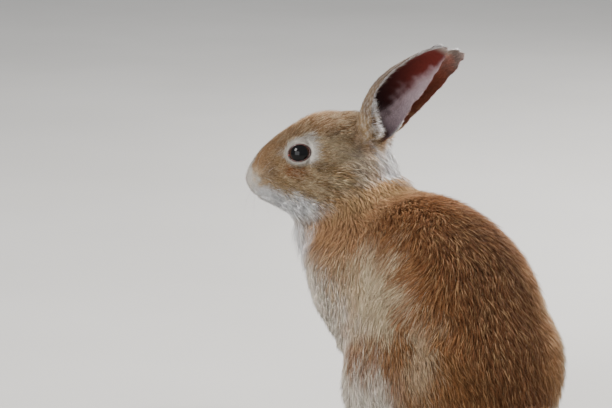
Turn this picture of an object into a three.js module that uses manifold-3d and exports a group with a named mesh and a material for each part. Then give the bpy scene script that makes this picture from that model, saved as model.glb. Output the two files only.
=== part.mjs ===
// A life-size still model of a rabbit, sitting up with its head turned to its left.
// Millimetres, +Z up. The trunk faces -Y and the animal's left side is at +X. The floor is Z = 0,
// and the origin is on the floor at the middle of the whole animal's box.
//
// The flesh is drawn as closed skins of sections, rounded off at both ends, out to the tips of the
// coat. Trunk, neck and limbs are joined to one body, which simple cutters then part into its pieces.

import * as THREE from "three";
import { mergeVertices } from "three/addons/utils/BufferGeometryUtils.js";
import Module from "manifold-3d";

const wasm = await Module();
wasm.setup();

// ---- driving dimensions ----

const GAP = 0.5; // between two pieces that meet
const SIMPLIFY = 0.25; // how far an edge that a cut left may move when it is dropped
const HEAD_TURN = THREE.MathUtils.degToRad(45); // to the animal's left
const EYE_MIDDLE = [33, -87.5, 173]; // halfway between the eyes, the head's own origin

const EYE = { radius: 8.6, side: 16.6, forward: -2.2 };

const TRUNK_LENGTH = { rump: 92, chest: -104 };
const HIND_FOOT = { length: 92, halfWidth: 11.5, halfHeight: 8, side: 40, toe: -48 };
const FORE_FOOT = { length: 34, halfWidth: 9, halfHeight: 7, side: 16, toe: -77 };
const TOES = 4; // on each foot, each with a claw
const NECK_LINE = { tilt: 40, middle: [-61, 124.5] }; // leans forward, in degrees, at [y, z]
const HAUNCH = { inner: 22, middle: [28, 50], halfLength: 66, halfHeight: 42, tilt: 12 };
const SHOULDER = { inner: 14, middle: [-50, 104], halfLength: 26, halfHeight: 40, tilt: 0 };
const SIDES = [["left", 1], ["right", -1]];
const CLAW = { length: 9, radius: 1.5, height: { hind: 4.6, fore: 4 } };

// ---- materials ----

const finish = (color, roughness, metalness = 0) =>
  new THREE.MeshStandardMaterial({ color, roughness, metalness });
const BACK_FUR = finish(0xa8713f, 0.9);
const FACE_FUR = finish(0xb08655, 0.9);
const LIMB_FUR = finish(0xb98a5c, 0.9);
const EAR_FUR = finish(0x8d6a52, 0.85);
const TAIL_FUR = finish(0xe8e0d4, 0.95);
const EYE_GLOSS = finish(0x160c0a, 0.08);
const HORN = finish(0x5f5044, 0.45);

// ---- shapes ----

// One value of a smooth curve through equally spaced numbers, at t from 0 to 1.
function through(numbers, t) {
  const curve = new THREE.SplineCurve(numbers.map((n, i) => new THREE.Vector2(i, n)));
  return curve.getPoint(t).y;
}

// The round-off near an end: 0 at the end, 1 from `length` inwards, a superellipse between.
function roundOff(distance, length, power) {
  if (distance >= length) return 1;
  const t = 1 - Math.max(distance, 0) / length;
  return Math.pow(1 - Math.pow(t, power), 1 / power);
}

// The sign-kept power that turns a circle into a superellipse.
const squared = (c, power) => Math.sign(c) * Math.pow(Math.abs(c), 2 / power);

// A unit sphere's grid with each vertex moved: place(t, angle) gives the point at t (0 to 1, from
// pole to pole) and angle round the body. The vertices of the seam and of the poles are merged.
function skinOf(place, sides, rings) {
  const grid = new THREE.SphereGeometry(1, sides, rings);
  grid.deleteAttribute("normal");
  grid.deleteAttribute("uv");
  const position = grid.getAttribute("position");
  const columns = sides + 1;
  for (let i = 0; i < position.count; i++) {
    const t = Math.floor(i / columns) / rings;
    const angle = ((i % columns) / sides) * 2 * Math.PI;
    const p = place(t, i % columns === sides ? 0 : angle);
    position.setXYZ(i, p.x, p.y, p.z);
  }
  return outward(mergeVertices(grid, 1e-4));
}

// The same geometry with its faces pointing out.
function outward(geometry) {
  const p = geometry.getAttribute("position");
  const index = geometry.getIndex();
  const [a, b, c] = [new THREE.Vector3(), new THREE.Vector3(), new THREE.Vector3()];
  let volume = 0;
  for (let i = 0; i < index.count; i += 3) {
    a.fromBufferAttribute(p, index.getX(i));
    b.fromBufferAttribute(p, index.getX(i + 1));
    c.fromBufferAttribute(p, index.getX(i + 2));
    volume += a.dot(b.cross(c));
  }
  if (volume < 0)
    for (let i = 0; i < index.count; i += 3) {
      const first = index.getX(i);
      index.setX(i, index.getX(i + 1));
      index.setX(i + 1, first);
    }
  return geometry;
}

// A body of upright slices along Y. Each row is [y, bottom, top, half-width], rear first.
// `ends` gives how far the rear and the front end take to round off.
function slices(rows, { sides, rings, ends, power = 2.2, square = 2.25 }) {
  const at = (column, t) => through(rows.map((row) => row[column]), t);
  const rear = rows[0][0];
  const front = rows[rows.length - 1][0];
  return skinOf(
    (t, angle) => {
      const s = (1 - Math.cos(Math.PI * t)) / 2;
      const y = at(0, s);
      const cap = roundOff(rear - y, ends[0], power) * roundOff(y - front, ends[1], power);
      const middle = (at(1, s) + at(2, s)) / 2;
      const half = ((at(2, s) - at(1, s)) / 2) * cap;
      return new THREE.Vector3(
        at(3, s) * cap * squared(Math.sin(angle), square),
        y,
        middle + half * squared(Math.cos(angle), square),
      );
    },
    sides,
    rings,
  );
}

// A limb along a bent path. Each station is [x, y, z, half-width, half-depth]. The half-width is
// measured along `across`, and the half-depth square to it and to the path.
function limb(stations, { sides, rings, across = [1, 0, 0], power = 2.2, blunt = 0.35 }) {
  const path = new THREE.CatmullRomCurve3(stations.map((s) => new THREE.Vector3(...s)));
  const side = new THREE.Vector3(...across);
  return skinOf(
    (t, angle) => {
      const s = (1 - Math.cos(Math.PI * t)) / 2;
      const along = path.getTangent(s);
      const depth = new THREE.Vector3().crossVectors(along, side).normalize();
      const width = new THREE.Vector3().crossVectors(depth, along).normalize();
      const cap = roundOff(s, blunt, power) * roundOff(1 - s, blunt, power);
      const halfWidth = through(stations.map((r) => r[3]), s) * cap;
      const halfDepth = through(stations.map((r) => r[4]), s) * cap;
      return path
        .getPoint(s)
        .addScaledVector(width, halfWidth * Math.cos(angle))
        .addScaledVector(depth, halfDepth * Math.sin(angle));
    },
    sides,
    rings,
  );
}

// Moves a geometry's vertices outwards by amount(point), in millimetres.
function swell(geometry, amount) {
  geometry.computeVertexNormals();
  const p = geometry.getAttribute("position");
  const n = geometry.getAttribute("normal");
  const point = new THREE.Vector3();
  const normal = new THREE.Vector3();
  for (let i = 0; i < p.count; i++) {
    point.fromBufferAttribute(p, i);
    normal.fromBufferAttribute(n, i);
    point.addScaledVector(normal, amount(point));
    p.setXYZ(i, point.x, point.y, point.z);
  }
  geometry.deleteAttribute("normal");
  return geometry;
}

// A soft bulge (or hollow, where `height` is negative) on both sides of the middle plane.
const bulge = (x, y, z, radius, height) => (point) => {
  const away = Math.hypot(Math.abs(point.x) - x, point.y - y, point.z - z);
  return height * Math.exp(-((away / radius) ** 2));
};

const sum = (parts) => (point) => parts.reduce((total, part) => total + part(point), 0);

// ---- joining and cutting ----

function solidOf(geometry) {
  return new wasm.Manifold(
    new wasm.Mesh({
      numProp: 3,
      vertProperties: new Float32Array(geometry.getAttribute("position").array),
      triVerts: new Uint32Array(geometry.getIndex().array),
    }),
  );
}

function geometryOf(solid) {
  const mesh = solid.asOriginal().simplify(SIMPLIFY).getMesh();
  const geometry = new THREE.BufferGeometry();
  geometry.setAttribute("position", new THREE.BufferAttribute(mesh.vertProperties, 3));
  geometry.setIndex(new THREE.BufferAttribute(mesh.triVerts, 1));
  return geometry;
}

// The largest of a solid's separate bodies: the others are slivers that a cut left.
function main(solid) {
  return solid.decompose().reduce((a, b) => (a.volume() > b.volume() ? a : b));
}

const join = (geometries) =>
  geometryOf(geometries.map(solidOf).reduce((whole, next) => whole.add(next)));

// The space that a mesh takes, with the gap round it, in the frame of `home`.
function spaceOf(mesh, home = new THREE.Matrix4()) {
  const space = swell(mesh.geometry.clone(), () => GAP);
  return solidOf(space.applyMatrix4(home.clone().invert().multiply(mesh.matrixWorld)));
}

// Cuts a mesh back from the space that other meshes take.
function cutBack(mesh, others) {
  let solid = solidOf(mesh.geometry);
  for (const other of others) solid = solid.subtract(spaceOf(other, mesh.matrixWorld));
  mesh.geometry = geometryOf(main(solid));
}

// Parts a solid in two along a cutter's surface: what is inside it, and the rest past a gap.
function part(solid, cutter) {
  const inside = main(solid.intersect(solidOf(cutter)));
  const rest = main(solid.subtract(solidOf(swell(cutter, () => GAP))));
  return [inside, rest];
}

// A stock geometry with only its places left, as joining and cutting need it.
function bare(geometry) {
  geometry.deleteAttribute("normal");
  geometry.deleteAttribute("uv");
  return mergeVertices(geometry);
}

// Cuts a mesh off flat at the floor.
function standOnFloor(mesh) {
  const ground = bare(new THREE.BoxGeometry(800, 800, 100).translate(0, 0, -50));
  ground.applyMatrix4(mesh.matrixWorld.clone().invert());
  mesh.geometry = geometryOf(main(solidOf(mesh.geometry).subtract(solidOf(ground))));
}

function node(name, geometry, material, parent) {
  const mesh = new THREE.Mesh(geometry, material);
  mesh.name = name;
  parent.add(mesh);
  return mesh;
}

// ---- trunk, neck and tail ----

function trunkShape() {
  const rows = [
    [TRUNK_LENGTH.rump, 16, 84, 38],
    [74, 9, 111, 43],
    [52, 8, 137, 50],
    [28, 8, 151, 51],
    [4, 12, 157, 49],
    [-20, 22, 157, 45],
    [-45, 36, 153, 42],
    [-68, 50, 147, 40],
    [-88, 62, 139, 36],
    [TRUNK_LENGTH.chest, 76, 130, 30],
  ];
  return slices(rows, { sides: 24, rings: 20, ends: [40, 34] });
}

function neckShapes() {
  const stations = [
    [0, -36, 108, 34, 34],
    [4.5, -53, 126, 33, 36],
    [10.5, -65.5, 144, 29, 34],
    [17, -73, 160, 24, 27.5],
    [21, -76, 176, 17, 19],
  ];
  const breast = [
    [8, -64, 116, 24, 24],
    [20, -85, 125, 24, 23],
    [31, -101, 131, 19, 18],
  ];
  return [
    limb(stations, { sides: 16, rings: 10, across: [0.93, 0.38, 0], blunt: 0.3 }),
    limb(breast, { sides: 12, rings: 8, across: [0.87, 0.5, 0], blunt: 0.45 }),
  ];
}

function tailShape() {
  const stations = [
    [0, 82, 26, 12, 10],
    [0, 94, 33, 15, 12],
    [0, 100, 42, 15, 11],
    [0, 99, 51, 11, 8],
  ];
  return limb(stations, { sides: 12, rings: 8, blunt: 0.45 });
}

// ---- head ----

function headShape() {
  const rows = [
    [59, -22, 0, 17],
    [50, -30, 12, 22],
    [41, -37, 20, 25],
    [30, -41, 23.5, 26.5],
    [19, -42.5, 24, 26],
    [9, -41.5, 23, 24],
    [0, -40, 19.5, 21],
    [-9, -37.5, 14, 18],
    [-18, -36, 7.5, 16.5],
    [-27, -33, -1, 14.5],
    [-36, -28, -10, 12],
  ];
  const skull = slices(rows, { sides: 24, rings: 24, ends: [20, 11], square: 2.15 });
  const features = [
    bulge(20, -1, 8, 9, 2.2), // the brow over each eye
    bulge(20, -2, -10, 7, 1.6), // the cheekbone under it
    bulge(24, 24, -20, 14, 2.5), // the jowl
    bulge(11, -26, -19, 8, 2.6), // the whisker pad
    bulge(14, -14, 2, 8, -2.2), // the hollow before the eye
    bulge(0, -31, -27, 6, -1.5), // under the nose
  ];
  return swell(skull, sum(features));
}

// An ear is a leaf curled round its long axis. Its grid is a flattened sphere: one half is the
// inner face and the other the outer, a thickness apart, and they meet round the rim.
const EAR = {
  thickness: 2.8,
  radius: [7, 10.5, 13.5, 15.5, 15.5, 14, 12, 9], // of the curl, from base to tip
  curl: [155, 140, 118, 100, 86, 74, 64, 56], // half the angle that the leaf wraps, in degrees
  baseRound: 0.05,
  tipRound: 0.3,
};

// The leaf opens one way at the base and turns to another at the tip.
function earShape({ path, opens }) {
  const axis = new THREE.CatmullRomCurve3(path.map((p) => new THREE.Vector3(...p)));
  const [atBase, atTip] = opens.map((o) => new THREE.Vector3(...o).normalize());
  return skinOf(
    (t, angle) => {
      const s = (1 - Math.cos(Math.PI * t)) / 2;
      const cap = roundOff(1 - s, EAR.tipRound, 2.2) * roundOff(s, EAR.baseRound, 2);
      const curl = THREE.MathUtils.degToRad(through(EAR.curl, s));
      const along = axis.getTangent(s);
      const open = atBase.clone().lerp(atTip, s);
      const across = new THREE.Vector3().crossVectors(along, open).normalize();
      const facing = new THREE.Vector3().crossVectors(across, along).normalize();
      const radius = through(EAR.radius, s);
      const bend = Math.cos(angle) * curl * cap;
      const face = radius - (EAR.thickness / 2) * Math.sin(angle) * cap;
      return axis
        .getPoint(s)
        .addScaledVector(across, face * Math.sin(bend))
        .addScaledVector(facing, -face * Math.cos(bend) + radius * (1 - cap));
    },
    16,
    16,
  );
}

// ---- legs ----

// The toes of a foot whose front edge is at toeTip, spread over its width.
function toes(side, toeTip, halfWidth, radius, length) {
  return [...Array(TOES).keys()].map((i) => {
    const share = (i / (TOES - 1)) * 2 - 1;
    const x = side + share * (halfWidth - radius * 0.55);
    const tip = toeTip + Math.abs(share + 0.2) * 4;
    const stations = [
      [x - share * 2, tip + length, radius * 1.1, radius, radius],
      [x, tip + length / 2, radius * 1.25, radius * 1.05, radius * 1.1],
      [x + share * 0.6, tip, radius * 0.85, radius * 0.85, radius * 0.85],
    ];
    return { shape: limb(stations, { sides: 8, rings: 6, blunt: 0.45 }), x: x + share * 0.6, tip };
  });
}

function claw(x, tip, height) {
  const stations = [
    [x, tip + CLAW.length * 0.45, height, CLAW.radius, CLAW.radius * 1.2],
    [x, tip, height, CLAW.radius * 0.85, CLAW.radius],
    [x, tip - CLAW.length * 0.55, height - 2.4, CLAW.radius * 0.4, CLAW.radius * 0.45],
  ];
  return limb(stations, { sides: 6, rings: 5, blunt: 0.3 });
}

function haunchShape(hand) {
  const stations = [
    [hand * 24, 84, 56, 14, 28],
    [hand * 31, 62, 58, 22, 42],
    [hand * 34, 26, 55, 22, 45],
    [hand * 36, -10, 44, 18, 34],
    [hand * 36, -36, 34, 12, 22],
  ];
  return limb(stations, { sides: 16, rings: 12, blunt: 0.3 });
}

function hindFootShape(hand) {
  const { side, toe, length, halfWidth, halfHeight } = HIND_FOOT;
  const x = hand * side;
  const stations = [
    [x, toe + length, 9, 8, 9],
    [x, toe + length * 0.7, 7, 10, 9],
    [x, toe + length * 0.35, 6, halfWidth, halfHeight],
    [x + hand, toe + 12, 5.5, halfWidth, halfHeight * 0.85],
  ];
  const sole = limb(stations, { sides: 12, rings: 10, blunt: 0.2 });
  const digits = toes(x + hand, toe, halfWidth, 4.2, 22);
  return { shape: join([sole, ...digits.map((d) => d.shape)]), digits };
}

function foreLegShapes(hand) {
  const shoulder = [
    [hand * 18, -36, 142, 16, 24],
    [hand * 29, -48, 122, 19, 29],
    [hand * 31, -54, 98, 18, 25],
    [hand * 26, -50, 78, 14, 18],
    [hand * 22, -46, 66, 11, 13],
  ];
  const forearm = [
    [hand * 24, -44, 82, 12, 15],
    [hand * 20, -48, 60, 10.5, 12],
    [hand * 16.5, -50, 36, 8.6, 9.5],
    [hand * 16, -51, 12, 8.2, 8.5],
  ];
  return [
    limb(shoulder, { sides: 14, rings: 12, blunt: 0.3 }),
    limb(forearm, { sides: 12, rings: 9, blunt: 0.18 }),
  ];
}

function forePawShape(hand) {
  const { side, toe, length, halfWidth, halfHeight } = FORE_FOOT;
  const x = hand * side;
  const stations = [
    [x, toe + length, 9, 7, 8],
    [x, toe + length * 0.6, 6.8, halfWidth * 0.95, halfHeight * 1.1],
    [x, toe + 8, 4.9, halfWidth, halfHeight * 0.9],
  ];
  const pad = limb(stations, { sides: 12, rings: 8, blunt: 0.3 });
  const digits = toes(x, toe, halfWidth, 3.5, 15);
  return { shape: join([pad, ...digits.map((d) => d.shape)]), digits };
}

// ---- the lines that part the body ----

// Everything in front of the line from the withers down to the chest.
function neckCutter() {
  const size = 250;
  return bare(new THREE.BoxGeometry(size, size, size))
    .translate(0, 0, size / 2)
    .rotateX(THREE.MathUtils.degToRad(NECK_LINE.tilt))
    .translate(0, ...NECK_LINE.middle);
}

// An oval drum lying across the body on one side, from `inner` outwards.
function sideCutter(hand, { inner, middle, halfLength, halfHeight, tilt }) {
  const depth = 60;
  return bare(new THREE.CylinderGeometry(1, 1, depth, 28))
    .rotateZ(Math.PI / 2)
    .scale(1, halfLength, halfHeight)
    .rotateX(THREE.MathUtils.degToRad(tilt))
    .translate(hand * (inner + depth / 2), middle[0], middle[1]);
}

// The shoulder and upper arm, with a sleeve round the forearm below.
function foreLegCutter(hand) {
  const sleeve = [
    [hand * 24, -46, 84, 13, 16],
    [hand * 20, -49, 50, 13, 16],
    [hand * 17, -51, 4, 12, 15],
  ];
  return join([sideCutter(hand, SHOULDER), limb(sleeve, { sides: 14, rings: 8, blunt: 0.1 })]);
}

// ---- the animal ----

const rabbit = new THREE.Group();
const head = new THREE.Group();
head.position.set(...EYE_MIDDLE);
head.rotation.z = HEAD_TURN;
rabbit.add(head);

const tail = node("tail", tailShape(), TAIL_FUR, rabbit);
const skull = node("head", headShape(), FACE_FUR, head);

const EARS = {
  left: {
    path: [[13, 40, 4], [15, 49, 22], [18, 61, 37], [21, 76, 50], [25, 91, 67]],
    opens: [[0.45, 0.89, 0], [0.8, 0.6, -0.2]],
  },
  right: {
    path: [[-13, 38, 4], [-16, 48, 20], [-19, 64, 34], [-21, 80, 45], [-23, 95, 57]],
    opens: [[-0.45, 0.89, 0], [-0.8, 0.6, -0.2]],
  },
};
const ears = Object.entries(EARS).map(([side, ear]) =>
  node("ear_" + side, earShape(ear), EAR_FUR, head),
);

const eyes = SIDES.map(([side, hand]) => {
  const eye = node("eye_" + side, bare(new THREE.SphereGeometry(EYE.radius, 12, 8)), EYE_GLOSS, head);
  eye.position.set(hand * EYE.side, -EYE.forward, 0);
  return eye;
});

const feet = SIDES.flatMap(([side, hand]) =>
  [["hind", hindFootShape(hand)], ["fore", forePawShape(hand)]].map(([place, { shape, digits }]) => {
    const foot = node((place === "hind" ? "hindfoot_" : "forepaw_") + side, shape, LIMB_FUR, rabbit);
    const claws = digits.map((d, i) =>
      node(`claw_${place}_${side}_${i + 1}`, claw(d.x, d.tip, CLAW.height[place]), HORN, rabbit),
    );
    return { foot, claws };
  }),
);

rabbit.updateMatrixWorld(true);

cutBack(skull, eyes);
for (const ear of ears) cutBack(ear, [skull]);
for (const { foot, claws } of feet) {
  standOnFloor(foot);
  for (const horn of claws) cutBack(horn, [foot]);
}

let body = [
  trunkShape(),
  ...neckShapes(),
  ...[1, -1].flatMap((hand) => [haunchShape(hand), ...foreLegShapes(hand)]),
]
  .map(solidOf)
  .reduce((whole, next) => whole.add(next));
for (const mesh of [skull, tail, ...ears, ...feet.map(({ foot }) => foot)]) {
  body = body.subtract(spaceOf(mesh));
}

const pieces = [["neck", neckCutter(), BACK_FUR]];
for (const [side, hand] of SIDES) {
  pieces.push(["haunch_" + side, sideCutter(hand, HAUNCH), LIMB_FUR]);
  pieces.push(["foreleg_" + side, foreLegCutter(hand), LIMB_FUR]);
}
for (const [name, cutter, fur] of pieces) {
  const [piece, rest] = part(body, cutter);
  node(name, geometryOf(piece), fur, rabbit);
  body = rest;
}
node("trunk", geometryOf(body), BACK_FUR, rabbit);

// The origin goes to the middle of the animal's box, on the floor.
const box = new THREE.Box3().setFromObject(rabbit, true);
rabbit.position.set(-(box.min.x + box.max.x) / 2, -(box.min.y + box.max.y) / 2, 0);

export default rabbit;
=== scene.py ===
import bmesh
import bpy
import numpy as np
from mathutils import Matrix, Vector
from mathutils.bvhtree import BVHTree


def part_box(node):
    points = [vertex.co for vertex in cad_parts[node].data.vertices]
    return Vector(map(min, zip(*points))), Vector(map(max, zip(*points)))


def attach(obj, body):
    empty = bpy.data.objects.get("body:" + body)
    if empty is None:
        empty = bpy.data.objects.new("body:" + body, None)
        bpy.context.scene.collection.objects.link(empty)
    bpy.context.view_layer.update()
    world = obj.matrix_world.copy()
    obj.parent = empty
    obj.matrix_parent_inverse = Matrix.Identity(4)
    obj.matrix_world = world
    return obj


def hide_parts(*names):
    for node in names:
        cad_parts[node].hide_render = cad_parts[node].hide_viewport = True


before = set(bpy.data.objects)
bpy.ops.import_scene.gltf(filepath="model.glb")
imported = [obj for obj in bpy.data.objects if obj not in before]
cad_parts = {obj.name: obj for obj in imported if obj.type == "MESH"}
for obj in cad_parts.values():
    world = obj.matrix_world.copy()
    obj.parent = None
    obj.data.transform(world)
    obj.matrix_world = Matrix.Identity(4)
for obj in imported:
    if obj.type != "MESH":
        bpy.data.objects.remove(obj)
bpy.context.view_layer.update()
MM = 0.001

# ---- Camera ----
# The animal is seen from behind its left shoulder, a little from above, through a long lens that
# cuts it off across the haunches.
PICTURE_WIDTH = 612  # pixels
METRES_PER_PIXEL = 0.0006  # where the animal sits
DISTANCE = 1.3
LOOKING_AT = Vector((0.0412, -0.0602, 0.1438))
azimuth, pitch = np.radians([148.0, 12.0])

camera = bpy.data.objects.new("camera", bpy.data.cameras.new("camera"))
camera.data.sensor_width = 36
camera.data.lens = camera.data.sensor_width * DISTANCE / (METRES_PER_PIXEL * PICTURE_WIDTH)
gaze = Vector((-np.sin(azimuth) * np.cos(pitch), np.cos(azimuth) * np.cos(pitch), -np.sin(pitch)))
camera.location = LOOKING_AT - gaze * DISTANCE
camera.rotation_mode = "QUATERNION"
camera.rotation_quaternion = gaze.to_track_quat("-Z", "Y")
bpy.context.scene.collection.objects.link(camera)
bpy.context.scene.camera = camera


# ---- Floor and light ----
# A plain pale studio floor, wide enough to fill every view, under a pale sky, with three soft lamps:
# a high one and a low one to the camera's left, and a strong one behind that lights the far edge.
class Wire:
    """One socket of a material's nodes. Arithmetic on wires and numbers adds Math nodes."""

    def __init__(self, tree, socket=None):
        self.tree, self.socket = tree, socket

    def node(self, kind, sockets=(), out=0, **settings):
        """Adds a node: its settings first, then the values or wires of its sockets."""
        made = self.tree.nodes.new(kind)
        for name, value in settings.items():
            setattr(made, name, value)
        for name, value in dict(sockets).items():
            if isinstance(value, Wire):
                self.tree.links.new(value.socket, made.inputs[name])
            else:
                made.inputs[name].default_value = value
        return Wire(self.tree, made.outputs[out])

    def maths(self, operation, *values):
        return self.node("ShaderNodeMath", dict(enumerate(values)), operation=operation)

    def __add__(self, other):
        return self.maths("ADD", self, other)

    def __mul__(self, other):
        return self.maths("MULTIPLY", self, other)

    __radd__ = __add__
    __rmul__ = __mul__

    def step(self, low, high):
        """0 below `low` and 1 above `high`, with a smooth climb between them."""
        return self.node("ShaderNodeMapRange", {0: self, 1: low, 2: high}, interpolation_type="SMOOTHSTEP")

    def between(self, a, b):
        """Colour a where this mask is 0, colour b where it is 1."""
        return self.node("ShaderNodeMix", {0: self, 6: a, 7: b}, out=2, data_type="RGBA")

    def times(self, colour):
        """A colour made this many times as bright."""
        return self.node("ShaderNodeVectorMath", {0: colour, "Scale": self}, operation="SCALE")

    def noise(self, scale, detail=3.0, roughness=0.55):
        """Cloudy noise from 0 to 1 over the object's own places, this many clouds to the metre."""
        where = self.node("ShaderNodeTexCoord", out="Object")
        return self.node("ShaderNodeTexNoise",
                         {"Vector": where, "Scale": scale, "Detail": detail, "Roughness": roughness})

    def bump(self, height, distance):
        return self.node("ShaderNodeBump", {"Height": height, "Distance": distance})

    def attribute(self, name, out="Color"):
        return self.node("ShaderNodeAttribute", out=out, attribute_name=name)


def finish(name, constants):
    """A new material: the Principled shader with its constant sockets set, and a wire to start from."""
    material = bpy.data.materials.new(name)
    material.use_nodes = True
    shader = material.node_tree.nodes["Principled BSDF"]
    for socket, value in constants.items():
        shader.inputs[socket].default_value = value
    return material, Wire(material.node_tree)


def feed(material, **inputs):
    """Wires go into the Principled shader's sockets, named with _ for a space."""
    shader = material.node_tree.nodes["Principled BSDF"]
    for name, wire in inputs.items():
        material.node_tree.links.new(wire.socket, shader.inputs[name.replace("_", " ")])


def srgb(red, green, blue):
    """A colour given in 0 to 255 as screens show it, as linear light from 0 to 1."""
    c = np.array([red, green, blue]) / 255
    return np.where(c < 0.04045, c / 12.92, ((c + 0.055) / 1.055) ** 2.4)


def new_piece(name, points, faces):
    """A smooth object at the origin from points (n, 3) and faces (m, 3) or (m, 4), as whole arrays."""
    mesh = bpy.data.meshes.new(name)
    mesh.vertices.add(len(points))
    mesh.vertices.foreach_set("co", np.asarray(points, np.float32).ravel())
    mesh.loops.add(faces.size)
    mesh.loops.foreach_set("vertex_index", np.asarray(faces, np.int32).ravel())
    mesh.polygons.add(len(faces))
    mesh.polygons.foreach_set("loop_start", np.arange(len(faces), dtype=np.int32) * faces.shape[1])
    mesh.update(calc_edges=True)
    mesh.polygons.foreach_set("use_smooth", np.ones(len(faces), bool))
    piece = bpy.data.objects.new(name, mesh)
    bpy.context.scene.collection.objects.link(piece)
    return piece


FLOOR_RADIUS, FLOOR_CORNERS = 9.0, 96
turns = np.linspace(0, 2 * np.pi, FLOOR_CORNERS, endpoint=False)
rim = np.stack([np.cos(turns), np.sin(turns), 0 * turns], 1) * FLOOR_RADIUS
spokes = np.arange(FLOOR_CORNERS)
floor = new_piece("floor", np.vstack([rim, [[0, 0, 0]]]),
                  np.stack([spokes, np.roll(spokes, -1), 0 * spokes + FLOOR_CORNERS], 1))
floor_finish, wire = finish("floor", {"Roughness": 0.85, "Specular IOR Level": 0.2})
mottle = wire.noise(2.5).step(0.2, 0.8)
feed(floor_finish, Base_Color=mottle.between((0.40, 0.39, 0.37, 1), (0.44, 0.43, 0.41, 1)))
floor.data.materials.append(floor_finish)

world = bpy.data.worlds.new("studio")
bpy.context.scene.world = world
world.use_nodes = True
world.node_tree.nodes["Background"].inputs["Color"].default_value = (0.94, 0.96, 1.0, 1)
world.node_tree.nodes["Background"].inputs["Strength"].default_value = 0.80


SHOULDERS = Vector((0, 0, 0.13))


def softbox(name, azimuth_deg, height_deg, away, size, watts, colour):
    """A square lamp that faces the animal's shoulders, at an azimuth, a height and a distance."""
    a, e = np.radians([azimuth_deg, height_deg])
    lamp = bpy.data.objects.new(name, bpy.data.lights.new(name, "AREA"))
    lamp.data.size, lamp.data.energy, lamp.data.color = size, watts, colour
    back = Vector((np.sin(a) * np.cos(e), -np.cos(a) * np.cos(e), np.sin(e)))
    lamp.location = SHOULDERS + back * away
    lamp.rotation_mode = "QUATERNION"
    lamp.rotation_quaternion = (-back).to_track_quat("-Z", "Y")
    bpy.context.scene.collection.objects.link(lamp)


softbox("key_lamp", 88, 36, 1.7, 0.6, 25, (1.0, 0.97, 0.94))
softbox("low_lamp", 112, 6, 2.0, 1.4, 26, (0.98, 0.99, 1.0))
softbox("edge_lamp", 258, 38, 1.6, 0.6, 95, (1.0, 0.98, 0.96))


# ---- The head's own place ----
# The head is turned to the animal's left. Its features lie in its own millimetres, from the middle
# between the eyes: x to its left, y backwards and z up.
def unit(vectors):
    """Each vector divided by its own length."""
    return vectors / np.maximum(np.linalg.norm(vectors, axis=-1, keepdims=True), 1e-12)


EYE_SET_BACK = 0.5
left_eye, right_eye = (np.mean([np.array(c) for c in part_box(n)], axis=0) for n in ("eye_left", "eye_right"))
leftward = unit(left_eye - right_eye)
backward = np.cross([0, 0, 1], leftward)
HEAD_AXES = np.stack([leftward, backward, [0, 0, 1]])
head_middle = (left_eye + right_eye) / 2 - EYE_SET_BACK * MM * backward
EYE_SIDE = np.linalg.norm(left_eye - right_eye) / 2 / MM
EYE_RADIUS = (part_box("eye_left")[1][2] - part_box("eye_left")[0][2]) / 2 / MM


def in_head(points):
    """Points of the frame, in metres, as places in the head's millimetres."""
    return (points - head_middle) @ HEAD_AXES.T / MM


def from_head(places):
    """Places in the head's millimetres as points of the frame, in metres."""
    return head_middle + places * MM @ HEAD_AXES


def step(x, low, high):
    """0 below `low`, 1 above `high`, and 3t^2 - 2t^3 between them."""
    t = np.clip((x - low) / (high - low), 0, 1)
    return t * t * (3 - 2 * t)


# The eye looks out to the side. Its opening is an almond, measured in mm along the ball's surface
# from the way the eye looks, with the front corner low.
EYE_AXIS = unit(np.array([0.97, 0.07, 0.19]))
EYE_UP = unit(np.array([0.0, 0.0, 1.0]) - EYE_AXIS[2] * EYE_AXIS)
EYE_FORE = unit(np.cross(EYE_AXIS, EYE_UP))
ALMOND = {"fore": 7.3, "aft": 6.9, "above": 5.4, "below": 5.1, "tilt": np.radians(-12)}
ALONG_POWER, UP_POWER = 1.8, 2.1  # 2 makes an ellipse, and less makes the corners sharper


def eye_place(places):
    """Places in the head's millimetres, either side, as (fore, up, out, distance) from the nearer eye."""
    mirrored = places * np.where(places[:, :1] < 0, [[-1, 1, 1]], [[1, 1, 1]])
    away = mirrored - [EYE_SIDE, EYE_SET_BACK, 0]
    return away @ EYE_FORE, away @ EYE_UP, away @ EYE_AXIS, np.linalg.norm(away, axis=1)


def almond(places):
    """How far out a place lies from the eye's opening, 1 on the lids' edge: the root of the sum of
    its reach along and its reach up, each as a share of the opening's, raised to their powers."""
    fore, up, out, distance = eye_place(places)
    beside = np.maximum(np.hypot(fore, up), 1e-6)
    arc = np.maximum(EYE_RADIUS * np.arctan2(beside, out), beside) / beside
    c, s = np.cos(ALMOND["tilt"]), np.sin(ALMOND["tilt"])
    u, v = (fore * c + up * s) * arc, (up * c - fore * s) * arc
    wide = np.where(u > 0, ALMOND["fore"], ALMOND["aft"])
    high = np.where(v > 0, ALMOND["above"], ALMOND["below"])
    inside = (np.abs(u / wide) ** ALONG_POWER + np.abs(v / high) ** UP_POWER) ** 0.5
    return np.where(distance < 2.2 * EYE_RADIUS, inside, 4.0)


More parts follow.
